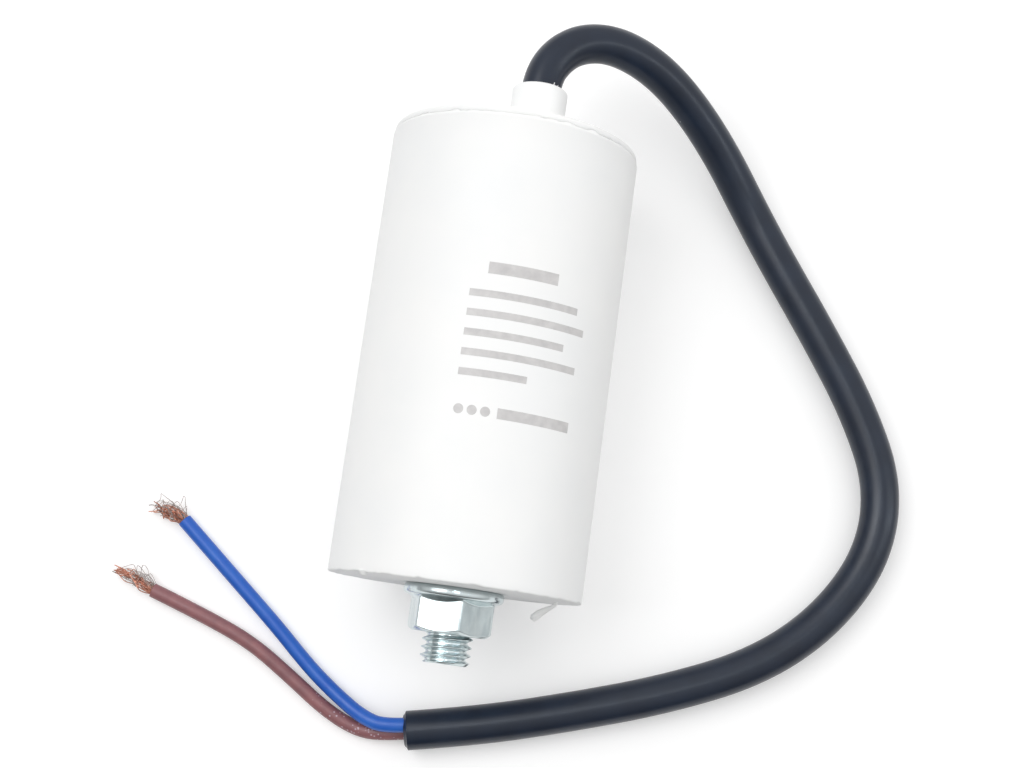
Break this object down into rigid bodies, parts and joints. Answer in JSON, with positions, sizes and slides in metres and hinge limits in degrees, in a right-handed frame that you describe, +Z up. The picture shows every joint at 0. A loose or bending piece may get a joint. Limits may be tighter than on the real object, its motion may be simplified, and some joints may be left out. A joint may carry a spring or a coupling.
{
  "type": "motor start capacitor",
  "caption": "Round white plastic motor capacitor with a threaded fixing stud and flange nut in its base, and a short sheathed lead with bare wire ends at its top.",
  "frame": {"origin": "on the surface that the can lies on, under the middle of the can with its boss and stud", "axes": "+Y along the can's axis, towards the cable boss; -Y is the way the fixing stud points; +Z up"},
  "size_m": [0.13, 0.1217, 0.04],
  "materials": {
    "can_plastic": "moulded, soft sheen",
    "zinc_plated_steel": "bright zinc plating",
    "insulator_plastic": "plain moulded",
    "sprayed_zinc": "rough sprayed metal",
    "metallised_film": "smooth wound film",
    "sleeve_film": "clear film, wrapped",
    "potting_resin": "cast",
    "blue_insulation": "extruded",
    "brown_insulation": "extruded",
    "copper": "bare fine strands",
    "solder": "reflowed",
    "jacket_pvc": "extruded, soft sheen"
  },
  "bodies": {
    "root": {"case": "can_plastic", "lid": "can_plastic", "mounting_stud": "zinc_plated_steel", "flange_nut": "zinc_plated_steel", "base_insulator": "insulator_plastic", "mandrel": "insulator_plastic", "lower_end_spray": "sprayed_zinc", "upper_end_spray": "sprayed_zinc", "winding": "metallised_film", "outer_wrap": "sleeve_film", "potting": "potting_resin", "blue_lead": "blue_insulation", "blue_core": "blue_insulation", "brown_lead": "brown_insulation", "brown_core": "brown_insulation", "blue_lead_conductor": "copper", "brown_lead_conductor": "copper", "blue_strands": "copper", "brown_strands": "copper", "blue_solder_joint": "solder", "brown_solder_joint": "solder", "cable_jacket": "jacket_pvc"}
  },
  "joints": []
}
